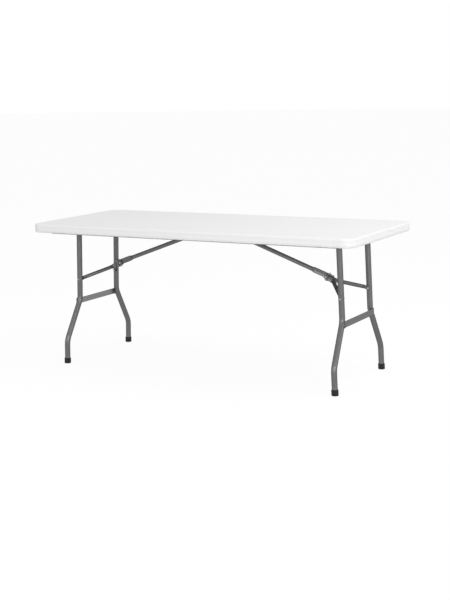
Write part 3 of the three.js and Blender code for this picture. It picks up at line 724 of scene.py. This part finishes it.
def pressed_tube(name, path, marks, normal, wall, material, rounds=(0, 0)):
    """A tube along a path, pressed as its marks say: (point, thick, tall, middle). Its middle is
    pressed sooner than its sides, which leaves a dimple. Each end may be rounded off."""
    runs = [0.0]
    for (here, _), (following, _) in zip(path, path[1:]):
        runs.append(runs[-1] + (following - here).length)
    full = runs[-1]

    def place_at(run):
        i = max(k for k in range(len(runs) - 1) if runs[k] <= run + TINY)
        share = (run - runs[i]) / max(runs[i + 1] - runs[i], TINY)
        return path[i][0].lerp(path[i + 1][0], share), path[i][1].lerp(path[i + 1][1], share).normalized()

    fine = [full * k / SEARCH_STEPS for k in range(SEARCH_STEPS + 1)]
    marked_at = [(min(fine, key=lambda run: (place_at(run)[0] - at).length), *sizes) for at, *sizes in marks]
    stops = set(round(run, 6) for run in runs)
    for low, high in zip(marked_at, marked_at[1:]):
        if low[1:] != high[1:]:
            stops |= {round(low[0] + (high[0] - low[0]) * k / TAPER_STEPS, 6) for k in range(TAPER_STEPS + 1)}
    for k in range(1, ROUNDING_STEPS + 1):
        reach = 1 - cos(pi / 2 * k / ROUNDING_STEPS)
        stops |= {round(rounds[0] * reach, 6), round(full - rounds[1] * reach, 6)}
    mesh = bmesh.new()
    grain_layer = mesh.verts.layers.float_vector.new("grain")
    edge_layer = mesh.verts.layers.float.new("edge")
    rings = []
    for run in sorted({min(max(stop, 0.0), full) for stop in stops}):
        at, along = place_at(run)
        number = next((k for k in range(1, len(marked_at)) if marked_at[k][0] >= run - TINY),
                      len(marked_at) - 1)
        low, high = marked_at[number - 1], marked_at[number]
        share = min(max((run - low[0]) / max(high[0] - low[0], TINY), 0), 1)
        # The middle is down to its depth over the half of the taper nearer to the round tube.
        sooner = min(2 * share, 1) if low[1] > high[1] else max(2 * share - 1, 0)
        share, sooner = (t * t * (3 - 2 * t) for t in (share, sooner))
        thick, tall = (a + (b - a) * share for a, b in zip(low[1:3], high[1:3]))
        middle = min(low[3] + (high[3] - low[3]) * sooner, thick)
        aside = normal.cross(along).normalized()
        rise = along.cross(aside)
        rings.append([])
        for number, (x, y) in enumerate(pressed_section(thick, tall, middle)):
            shift = 0.0
            for radius, left, way in ((rounds[0], run, 1), (rounds[1], full - run, -1)):
                if radius > left:
                    shift += way * (radius - left) * (1 - sqrt(max(1 - (y / radius) ** 2, 0)))
            vertex = mesh.verts.new(at + aside * x + rise * y + along * shift)
            turn = tau * number / PRESSED_SIDES
            vertex[grain_layer] = (GRAIN_RADIUS * cos(turn), GRAIN_RADIUS * sin(turn), run)
            vertex[edge_layer] = max(0.0, 1 - min(run, full - run) / RUBBED_END)
            rings[-1].append(vertex)
    skin(mesh, rings)
    return walled(finished(name, mesh, material, 40), wall)


# A lighter copy of the frame paint: painted light, for the light that the crossbar's outward face catches
# from the right.
crossbar_lit_paint = grey_paint("grey_paint_crossbar_painted_light", True, 0.245, 0.265)


def crossbar(name):
    inner = CROSSBAR_HALF - RUBBED_END
    path = [(on_frame(CROSSBAR_HEIGHT, y) + leg_out * (LEG_TUBE / 2), across)
            for y in (-CROSSBAR_HALF, -inner, inner, CROSSBAR_HALF)]
    size = (CROSSBAR_PRESSED, crossbar_flat, CROSSBAR_PRESSED - CROSSBAR_VALLEY)
    marks = [(path[0][0], *size), (path[-1][0], *size)]
    return pressed_tube(name, path, marks, leg_down, LEG_WALL, crossbar_lit_paint)


for end, turn in ENDS:
    fit(crossbar(f"crossbar_{end}_pressed"), f"leg_frame_{end}", "grey_paint", f"crossbar_{end}", turn=turn)

# ---- Welds ----
# A rippled bead runs round each leg's saddle on the hinge tube, another round each place where the
# crossbar bites over a leg, and a third shuts each end of the crossbar. All are painted over.

BEAD = 0.0042
BEAD_RIPPLE = 0.00028
BEAD_PITCH = 0.0019
END_BEAD = 0.0064
SEAM_POINTS = 96


def saddle_seam(side):
    """The line where a leg's end meets the hinge tube."""
    radius = LEG_TUBE / 2
    seam = []
    for turn in (tau * k / SEAM_POINTS for k in range(SEAM_POINTS)):
        aside = radius * cos(turn)
        seam.append(hinge + across * (side * LEG_SPREAD_TOP + radius * sin(turn)) + leg_out * aside
                    + leg_down * sqrt(max(radius ** 2 - aside ** 2, 0)))
    return seam


def cope_seam(side):
    """The line where a crossbar's inner side meets the round of a leg."""
    path = bent_path(leg_corners(side), LEG_BEND, 60)
    leg_y = min(path, key=lambda station: abs(station[0].z - CROSSBAR_HEIGHT))[0].y
    radius, cap = LEG_TUBE / 2, CROSSBAR_PRESSED / 2
    flat = (crossbar_flat - CROSSBAR_PRESSED) / 2
    upper = [(flat * k / 8, radius - cap) for k in range(8)]
    upper += [(flat + cap * sin(t), min(radius - cap * cos(t), radius))
              for t in (pi / 24 * k for k in range(12))]
    seam = []
    for sign, line in ((1, upper + [(flat + cap, radius)]), (-1, upper[::-1])):
        seam += [(h, sign * sqrt(max(radius ** 2 - o ** 2, 0)), o) for h, o in line]
    seam += [(-h, -aside, o) for h, aside, o in seam[1:-1]]
    base = on_frame(CROSSBAR_HEIGHT, leg_y)
    return [base - leg_down * h + across * aside + leg_out * o for h, aside, o in seam]


def turned(name, profile, at, along, material, sides=48, rubbed=lambda radius, run: 0.0):
    """A turned piece: [radius, distance] pairs from a point along a direction, closed at both ends."""
    mesh = bmesh.new()
    edge_layer = mesh.verts.layers.float.new("edge")
    grain_layer = mesh.verts.layers.float_vector.new("grain")
    level = along.orthogonal().normalized()
    third = along.cross(level)
    rings = []
    for radius, run in profile:
        rings.append([])
        for turn in (tau * k / sides for k in range(sides if radius > 0 else 1)):
            spoke = level * cos(turn) + third * sin(turn)
            vertex = mesh.verts.new(at + along * run + spoke * radius)
            vertex[edge_layer] = rubbed(radius, run)
            vertex[grain_layer] = (radius * cos(turn), radius * sin(turn), run)
            rings[-1].append(vertex)
    skin(mesh, rings)
    bmesh.ops.recalc_face_normals(mesh, faces=mesh.faces)
    return finished(name, mesh, material, 30)


def end_bead(name, side):
    """A rippled bead up the open end of a crossbar, which it fills and rounds off."""
    radius, reach = END_BEAD / 2, (crossbar_flat - END_BEAD) / 2
    profile = [(radius * sin(t), -reach - radius * cos(t))
               for t in (pi / 16 * k for k in range(9))]
    crown = [(radius, -run) for radius, run in profile[::-1]]
    profile += [(radius + BEAD_RIPPLE * sin(tau * run / BEAD_PITCH), run)
                for run in (reach * k / 90 for k in range(-89, 90))]
    middle = on_frame(CROSSBAR_HEIGHT, side * CROSSBAR_HALF) + leg_out * LEG_TUBE / 2
    return turned(name, profile + crown, middle, leg_down, tube_paint, sides=16)


for end, row, turn, side in LEGS:
    beads = [end_bead(f"weld_crossbar_end_{row}_{end}", side)]
    for joint, seam in (("hinge", saddle_seam(side)), ("crossbar", cope_seam(side))):
        beads.append(round_tube(f"weld_{joint}_{row}_{end}", seam, BEAD, tube_paint, sides=12, closed=True,
                                ripple=BEAD_RIPPLE, ripple_pitch=BEAD_PITCH))
    for bead in beads:
        fit(bead, f"leg_frame_{end}", "grey_paint", turn=turn)

# ---- Foot caps and pivot plugs ----
# Black moulded plastic. A cap is a cup pushed over each foot with its sole level on the floor, and
# a plug in each end of the hinge tube turns in the rail's web on a stub with a snap lip.

CAP_RADIUS = 0.017
SOLE_RADIUS = 0.012
SOLE_WEAR = 0.4
PLUG_PIN = 0.008


def black_plastic():
    material, tree, shader, _, rubbed = coated(
        "black_plastic", grain_effect, {"Pebble size": 0.0007, "Unevenness": 0.45}, 0.004, 0.50, 0.12,
        ((0.012, 0.012, 0.013, 1), (0.021, 0.021, 0.022, 1)), (0.055, 0.055, 0.054, 1), (0.35, 0.00012))
    feed(tree, shader, {"Roughness": between(tree, rubbed, 0.50, 0.75), "Specular IOR Level": 0.20})
    return material


black = black_plastic()


def foot_cap(name, side):
    rim, bore = CAP_RADIUS, LEG_TUBE / 2 + CLEARANCE
    profile = [(0, 0), (0.0148, 0), (0.0161, 0.0004), (0.0167, 0.0011), (rim, 0.0023), (rim, 0.0050),
               (0.01665, 0.0054), (0.01665, 0.0062), (rim, 0.0066), (rim, 0.0235), (0.01685, 0.0255),
               (0.0164, 0.0274), (0.0156, 0.0286), (0.0150, 0.0290), (0.0145, 0.0287), (bore, 0.0280),
               (bore, CAP_SOLE), (0, CAP_SOLE)]
    sole = on_frame(0, side * LEG_SPREAD_FOOT)
    piece = turned(name, profile, sole, -leg_down, black, 56,
                   lambda radius, run: max(0.0, 1 - run / CAP_SOLE) if radius > SOLE_RADIUS else SOLE_WEAR)
    # The sole is level on the floor, and the rest of the cap's foot leans over into the leg's slant.
    for vertex in piece.data.vertices:
        run = (sole - vertex.co).dot(leg_down)
        if run < CAP_SOLE - 1e-5:
            lean = (vertex.co - sole).dot(leg_out) * tan(SPLAY)
            vertex.co += leg_down * lean * (1 - run / CAP_SOLE)
    return piece


def pivot_plug(name, side):
    tube, pin = LEG_TUBE / 2, PLUG_PIN
    spigot = tube - LEG_WALL - CLEARANCE
    profile = [(0, -0.016), (spigot - 0.001, -0.016), (spigot, -0.015), (spigot, 0), (tube - 0.0004, 0),
               (tube, 0.0004), (tube, 0.0016), (tube - 0.0005, 0.002), (pin + 0.0003, 0.002), (pin, 0.0023),
               (pin, 0.0046), (pin + 0.0012, 0.0046), (pin + 0.0016, 0.0050), (pin + 0.0016, 0.0062),
               (pin + 0.0010, 0.0073), (pin - 0.0006, 0.0092), (pin - 0.0012, 0.0096), (0.0046, 0.0096),
               (0.0040, 0.0092), (0.0036, 0.0020), (0, 0.0020)]
    return turned(name, profile, hinge + across * side * (HINGE_TUBE_HALF + CLEARANCE), across * side, black)


for end, row, turn, side in LEGS:
    for kind, make in (("foot_cap", foot_cap), ("pivot_plug", pivot_plug)):
        fit(make(f"{kind}_{row}_{end}_moulded", side), f"leg_frame_{end}", "black_plastic",
            f"{kind}_{row}_{end}", turn=turn)

# ---- Struts ----
# A steel tube from the middle bracket to the knee. It is pressed flat round its upper pin, and
# flat again from before the knee to a square-cut tongue that the lock ring holds between the arms.

knee = joint_at["knee_right"]
STAY_WALL = 0.0014
STRUT_TUBE = 0.021
STRUT_PRESSED = 0.008
STRUT_VALLEY = 0.0046
STRUT_TAPER = 0.022
UPPER_FLAT = 0.019
FLAT_BEFORE_KNEE = 0.066
TONGUE = 0.035
STRUT_MIDDLE = 0.3
KNEE_PIN_DROP = 0.005
strut_flat = pressed_height(STRUT_TUBE, STRUT_PRESSED)
strut_length = (knee - anchor).length
strut_along = Matrix.Rotation(-asin(KNEE_PIN_DROP / strut_length), 3, "Y") @ (knee - anchor).normalized()
strut_normal = strut_along.cross(across)


def on_strut(distance):
    return anchor + strut_along * distance


def strut(name):
    flat_start, tongue = strut_length - FLAT_BEFORE_KNEE, strut_length + TONGUE
    flat, tube = (STRUT_PRESSED, strut_flat, STRUT_VALLEY), (STRUT_TUBE, STRUT_TUBE, STRUT_TUBE)
    marks = [(on_strut(run), *size) for run, size in (
        (-strut_flat / 2, flat), (UPPER_FLAT, flat), (UPPER_FLAT + STRUT_TAPER, tube),
        (flat_start - STRUT_TAPER, tube), (flat_start, flat), (tongue, flat))]
    path = [(on_strut(run), strut_along) for run in (-strut_flat / 2, 0.0, STRUT_MIDDLE, tongue)]
    return pressed_tube(name, path, marks, strut_normal, STAY_WALL, tube_paint, rounds=(strut_flat / 2, 0))


for end, turn in ENDS:
    fit(strut(f"strut_{end}_pressed"), f"strut_{end}", "grey_paint", f"strut_{end}", turn=turn)

# ---- Brace arms ----
# Two bent steel tubes to each frame. They start side by side round the strut's tongue, pressed
# flat, spread round, and end pressed again against the inner faces of the legs.

ARM_TUBE = 0.019
ARM_PRESSED = 0.007
ARM_VALLEY = 0.0042
ARM_LEG_PRESSED = 0.006
ARM_LEG_VALLEY = 0.0044
ARM_PAST_RIVET = 0.007
ARM_TAPER = 0.024
ARM_BEND = 0.022
ARM_PARALLEL = 0.040
ARM_SPREAD = radians(51)
ARM_GAP = 0.0004
RIVET_HEIGHT = 0.4315
# A darker copy of the frame paint: painted shade, for the shade that the arms lie in under the tabletop.
arm_shaded_paint = grey_paint("grey_paint_arm_painted_shade", True, 0.120, 0.146)
rivet_at = on_frame(RIVET_HEIGHT, 0)
brace_along = (rivet_at - knee).normalized()
brace_length = (rivet_at - knee).length
arm_flat = pressed_height(ARM_TUBE, ARM_PRESSED)
arm_at_knee = STRUT_PRESSED / 2 + ARM_GAP + ARM_PRESSED / 2
arm_at_leg = LEG_SPREAD_TOP - LEG_TUBE / 2 - ARM_LEG_PRESSED / 2 - CLEARANCE


def brace_arm(name, side):
    def beside(distance, y):
        return knee + brace_along * distance + across * side * y

    def on_slant(run):
        return beside(ARM_PARALLEL + run * cos(ARM_SPREAD), arm_at_knee + run * sin(ARM_SPREAD))

    slant = (arm_at_leg - arm_at_knee) / sin(ARM_SPREAD)
    corners = [beside(-arm_flat / 2, arm_at_knee), on_slant(0), on_slant(slant),
               beside(brace_length + ARM_PAST_RIVET, arm_at_leg)]
    flat, tube = (ARM_PRESSED, arm_flat, ARM_VALLEY), (ARM_TUBE, ARM_TUBE, ARM_TUBE)
    leg_flat = (ARM_LEG_PRESSED, ARM_TUBE, ARM_LEG_VALLEY)
    marks = [(corners[0], *flat), (on_slant(0), *flat), (on_slant(ARM_TAPER), *tube),
             (on_slant(slant - ARM_TAPER), *tube), (on_slant(slant), *leg_flat), (corners[-1], *leg_flat)]
    return pressed_tube(name, bent_path(corners, ARM_BEND, 12), marks, brace_along.cross(across), STAY_WALL,
                        arm_shaded_paint, rounds=(arm_flat / 2, ARM_TUBE / 2))


for end, row, turn, side in LEGS:
    fit(brace_arm(f"brace_arm_{row}_{end}_bent", side), f"brace_{end}", "grey_paint",
        f"brace_arm_{row}_{end}", turn=turn)

# ---- Screws, rivets and pins ----
# Zinc-plated steel. Pan-head screws with a cross recess go up into the panel through the rails
# and the bracket, and domed rivets pin the struts, the knees and the arms.

SCREW_HEAD = 0.00475
SCREW_SHANK = 0.002
SCREW_RISE = 0.0027
RECESS_SIZE = (0.0050, 0.0010, 0.0030)
RECESS_TAPER = 0.45
RIVET_HEAD = 0.0044
RIVET_SHANK = 0.003
RIVET_EDGE = 0.0007
RIVET_RISE = 0.0026
PIN_REACH = 0.008


def zinc(name, tone_low, tone_high):
    """Plated steel, duller and darker where it is handled."""
    material, tree, shader, coat, _ = coated(
        name, coat_effect, {"Peel size": 0.0011, "Lines": 0.0}, 0.002, 0.35, 0.3,
        [(t, t + 0.005, t + 0.01, 1) for t in (tone_low, tone_high)], (0.20, 0.195, 0.185, 1), (0.2, 0.00008))
    feed(tree, shader, {"Roughness": between(tree, coat, 0.26, 0.44), "Metallic": 1.0})
    return material


plating = zinc("zinc", 0.38, 0.48)


def fixings_tree():
    """A tree that sets one fixing at every point, turned to face the way that the point says."""
    tree, given, made = group("Geometry", "fixings", {
        "Places": "Geometry", "Fixing": "Object", "Finish": "Material"}, Fixings="Geometry")
    facing = place(tree, "FunctionNodeAlignRotationToVector", {
        "Vector": marked(tree, "faces", "FLOAT_VECTOR")}, axis="Z")
    fixing = place(tree, "GeometryNodeObjectInfo", {"Object": given["Fixing"]})
    points = place(tree, "GeometryNodeMeshToPoints", {"Mesh": given["Places"]})
    copies = place(tree, "GeometryNodeInstanceOnPoints", {
        "Points": points[0], "Instance": fixing["Geometry"], "Rotation": facing[0]})
    return end_tree(tree, given, made, copies[0])


fixing_tree = fixings_tree()


def set_fixings(name, fixing, places):
    """Copies of one fixing at [point, facing] places, as one piece."""
    mesh = wire_of([at for at, facing in places])
    mesh.attributes.new("faces", "FLOAT_VECTOR", "POINT").data.foreach_set(
        "vector", [value for at, facing in places for value in facing])
    return changed(in_scene(name, mesh), "NODES", {"Fixing": fixing, "Finish": plating},
                   node_group=fixing_tree)


def pan_screw():
    """Its head stands on the origin, facing +Z, with a cross recess cut into the dome."""
    head, shank = SCREW_HEAD, SCREW_SHANK
    profile = [(0, -0.013), (shank * 0.4, -0.0125), (shank, -0.0108), (shank, 0.0003),
               (head - 0.0002, 0.0003), (head, 0.0006), (head, 0.0011), (head * 0.93, 0.0018),
               (head * 0.76, 0.0024), (head * 0.45, 0.0028), (0, 0.0029)]
    screw = turned("pan_screw", profile, Vector(), up, plating, 32)
    cross = bmesh.new()
    for turn in (0, pi / 2):
        arm = bmesh.ops.create_cube(cross, size=1)["verts"]
        bmesh.ops.scale(cross, vec=RECESS_SIZE, verts=arm)
        for vertex in arm:
            if vertex.co.z < 0:
                vertex.co.x *= RECESS_TAPER
        bmesh.ops.rotate(cross, matrix=Matrix.Rotation(turn, 3, "Z"), verts=arm)
        bmesh.ops.translate(cross, vec=(0, 0, SCREW_RISE), verts=arm)
    cutter = finished("cross_recess", cross, plating)
    made = changed(screw, "BOOLEAN", operation="DIFFERENCE", solver="EXACT", use_self=True,
                   object=cutter).data
    cleaned = bmesh.new()
    cleaned.from_mesh(made)
    bmesh.ops.remove_doubles(cleaned, verts=cleaned.verts, dist=2e-6)
    cleaned.to_mesh(made)
    cleaned.free()
    smoothed(made, 30)
    bpy.data.objects.remove(cutter)
    return screw


def rivet(shank_length):
    """A domed rivet head on the origin, facing +Z, with its shank behind it."""
    dome = [(RIVET_HEAD * cos(t), RIVET_EDGE + (RIVET_RISE - RIVET_EDGE) * sin(t))
            for t in (pi / 16 * k for k in range(8))]
    profile = [(0, -shank_length), (RIVET_SHANK, -shank_length), (RIVET_SHANK, CLEARANCE),
               (RIVET_HEAD - CLEARANCE, CLEARANCE), *dome, (0, RIVET_RISE)]
    return turned("rivet", profile, Vector(), up, plating, 40)


screws_at = {}
for node in frame["nodes"]:
    if node.startswith(("rail_screw_", "bracket_screw_")):
        low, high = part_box(node)
        screws_at[node] = Vector(((low.x + high.x) / 2, (low.y + high.y) / 2, low.z + SCREW_RISE))
screw, pin_half, leg_half, arm_half = pan_screw(), rivet(PIN_REACH), rivet(LEG_TUBE), rivet(ARM_LEG_PRESSED)
screws = set_fixings("panel_screws", screw, [(at, (0, 0, -1)) for at in screws_at.values()])
fit(screws, "top", "zinc", *screws_at)

ear_face, stack_face = EAR_INNER + EAR_SHEET, arm_at_knee + ARM_PRESSED / 2
for end, turn in ENDS:
    rows = [row for leg_end, row, _, _ in LEGS if leg_end == end]
    for name, body, fixing, middle, face, way, nodes in (
            ("strut_pin", "top", pin_half, anchor, ear_face, 1, [f"strut_pin_{end}"]),
            ("knee_pin", f"strut_{end}", pin_half, knee, stack_face, 1, [f"knee_pin_{end}"]),
            ("leg_rivets", f"leg_frame_{end}", leg_half, rivet_at, LEG_SPREAD_TOP + LEG_TUBE / 2, 1,
             [f"leg_rivet_{row}_{end}" for row in rows]),
            ("arm_rivets", f"brace_{end}", arm_half, rivet_at, arm_at_leg - ARM_LEG_PRESSED / 2, -1,
             [f"arm_rivet_{row}_{end}" for row in rows])):
        places = [(middle + across * side * face, across * side * way) for side in (-1, 1)]
        fit(set_fixings(f"{name}_{end}_domed", fixing, places), body, "zinc", *nodes, turn=turn)
for pattern in (screw, pin_half, leg_half, arm_half):
    bpy.data.objects.remove(pattern)

# ---- Lock rings ----
# A loop of zinc-plated wire round each knee, welded shut, with a small finger tab below. It slides
# along the strut, and while it lies over the tongue the arms can't fold.

RING_WIRE = 0.0028
RING_CORNER = 0.006
RING_PAST_PIN = 0.009
RING_SLACK = 0.0008
RING_DROP = 0.0026
TAB_HALF = 0.006
TAB_SHEET = 0.0016
TAB_LENGTH = 0.013
TAB_ROOT = 0.0016
TAB_TIP = 0.003
TAB_DROP = 0.0022
TAB_TIP_DROP = 0.0040
TAB_EASED = 0.0004
ring_zinc = zinc("zinc_ring", 0.19, 0.27)
ring_half = stack_face + CLEARANCE + RIVET_RISE + RING_SLACK
ring_top = strut_flat / 2 + ARM_GAP
ring_bottom = -KNEE_PIN_DROP - arm_flat / 2 - RING_DROP
ring_place = on_strut(strut_length + RING_PAST_PIN)


def on_ring(y, point):
    return ring_place + across * y + strut_along * point.x + strut_normal * point.y


def lock_ring(name):
    half_wire = RING_WIRE / 2
    middle = (ring_top + ring_bottom) / 2
    outline = rounded_outline(ring_half + half_wire, (ring_top - ring_bottom) / 2 + half_wire,
                              RING_CORNER + half_wire, 10)
    points = [ring_place + across * x + strut_normal * (middle + y) for x, y in outline]
    return round_tube(name, points, RING_WIRE, ring_zinc, sides=20, closed=True)


def finger_tab(name):
    """A folded strip: one leg is spot-welded under the wire, and the other is the grip."""
    strip = [Vector((TAB_ROOT, ring_bottom - TAB_DROP)),
             Vector((-TAB_LENGTH + TAB_TIP, ring_bottom - TAB_DROP)),
             Vector((-TAB_LENGTH, ring_bottom - TAB_TIP_DROP))]
    outline = [point + Vector((0, side * TAB_SHEET / 2)) for side in (1, -1) for point in strip[::side]]
    return prism(name, outline, -TAB_HALF, TAB_HALF, TAB_EASED, on_ring, ring_zinc, 30)


for end, turn in ENDS:
    body = f"lock_ring_{end}"
    fit(lock_ring(f"{body}_wire"), body, "zinc", body, turn=turn)
    fit(finger_tab(f"{body}_tab"), body, "zinc", turn=turn)

# ---- The room ----
# A plain white studio. The floor is pale, the room is an even white, and four soft lamps shape the
# table: one above the right end, broad ones in front and on the right, and a softbox between them.

ROOM_LEVEL = 0.68
FLOOR_HALF = 60
FLOOR_TONE = 0.62
FLOOR_SEEN_TONE = 0.10
FLOOR_GLOW = 0.91
LAMPS_FACE = Vector((0, 0, 0.6))
# Each lamp: the way to it, how far it stands, how wide it is, and how bright it makes a white face.
LAMPS = {
    "above": (Vector((0.60, 0.05, 0.80)), 3.2, 1.6, 0.23),
    "in_front": (Vector((-0.20, -1.0, 0.25)), 9.0, 3.5, 0.14),
    "beside": (Vector((1.0, 0.20, 0.15)), 9.0, 3.5, 0.06),
    "softbox": (Vector((0.72, -0.66, 0.20)), 9.0, 1.9, 0.26),
}


def straight_or_glossy(tree):
    """Marks the rays that reach the lens straight or by a reflection."""
    ray = place(tree, "ShaderNodeLightPath")
    return maths(tree, "MAXIMUM", ray["Is Camera Ray"], ray["Is Glossy Ray"])


def room_floor():
    mesh = bmesh.new()
    bmesh.ops.create_grid(mesh, x_segments=1, y_segments=1, size=FLOOR_HALF)
    material, tree = new_material("floor")
    tree.nodes.remove(tree.nodes["Principled BSDF"])
    seen = straight_or_glossy(tree)
    matt = place(tree, "ShaderNodeBsdfDiffuse", {
        "Color": blended(tree, seen, *((t, t, t, 1) for t in (FLOOR_TONE, FLOOR_SEEN_TONE)))})
    glow = place(tree, "ShaderNodeEmission", {
        "Color": (1, 1, 1, 1), "Strength": between(tree, seen, 0.0, FLOOR_GLOW)})
    both = place(tree, "ShaderNodeAddShader", {0: matt[0], 1: glow[0]})
    feed(tree, tree.nodes["Material Output"], {"Surface": both[0]})
    finished("floor", mesh, material)


def room_light():
    world = bpy.data.worlds.new("room")
    bpy.context.scene.world = world
    world.use_nodes = True
    tree = world.node_tree
    feed(tree, tree.nodes["Background"], {
        "Color": (1, 1, 1, 1), "Strength": between(tree, straight_or_glossy(tree), ROOM_LEVEL, 1.0)})
    for name, (towards, distance, width, level) in LAMPS.items():
        lamp = in_scene(name, bpy.data.lights.new(name, "AREA"))
        lamp.data.shape = "SQUARE"
        lamp.data.size = width
        lamp.data.energy = level * (pi * distance) ** 2
        lamp.visible_camera = False
        lamp.location = LAMPS_FACE + towards.normalized() * distance
        lamp.rotation_euler = towards.to_track_quat("Z", "Y").to_euler()


room_floor()
room_light()
bpy.context.scene.view_settings.view_transform = "Standard"
